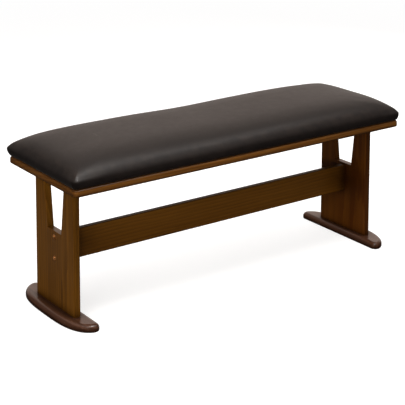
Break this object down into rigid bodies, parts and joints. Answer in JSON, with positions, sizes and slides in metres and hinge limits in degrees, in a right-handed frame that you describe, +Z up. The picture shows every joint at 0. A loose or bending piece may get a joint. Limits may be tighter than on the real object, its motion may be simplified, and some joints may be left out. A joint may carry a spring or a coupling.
{
  "type": "upholstered bench",
  "caption": "Backless wooden bench with a padded leatherette seat, plank legs with tapered openings, runner feet and a board stretcher.",
  "frame": {"origin": "on the floor, centred under the seat", "axes": "+X along the bench, +Z up, the front at -Y"},
  "size_m": [1.058, 0.346, 0.4398],
  "materials": {
    "seat_board_wood": "semi-gloss lacquer",
    "leg_wood": "semi-gloss lacquer, vertical grain",
    "stretcher_wood": "semi-gloss lacquer",
    "foot_wood": "gloss lacquer",
    "raw_dowel_wood": "unfinished beech",
    "plywood": "unfinished",
    "foam": "open-cell foam",
    "leatherette": "satin, fine grain",
    "bronze_bolt": "antique bronze plated, satin",
    "zinc_steel": "zinc plated"
  },
  "bodies": {
    "root": {"seat_board": "seat_board_wood", "cushion_cover": "leatherette", "cushion_foam": "foam", "cushion_base": "plywood", "left_front_post": "leg_wood", "left_centre_stave": "leg_wood", "left_rear_post": "leg_wood", "right_front_post": "leg_wood", "right_centre_stave": "leg_wood", "right_rear_post": "leg_wood", "stretcher": "stretcher_wood", "left_foot": "foot_wood", "right_foot": "foot_wood", "stretcher_bolts": "bronze_bolt", "barrel_nuts": "zinc_steel", "stretcher_dowels": "raw_dowel_wood", "stave_dowels": "raw_dowel_wood", "foot_dowels": "raw_dowel_wood", "seat_dowels": "raw_dowel_wood", "foot_screws": "zinc_steel", "cushion_screws": "zinc_steel", "seat_screws": "zinc_steel", "cover_staples": "zinc_steel"}
  },
  "joints": []
}
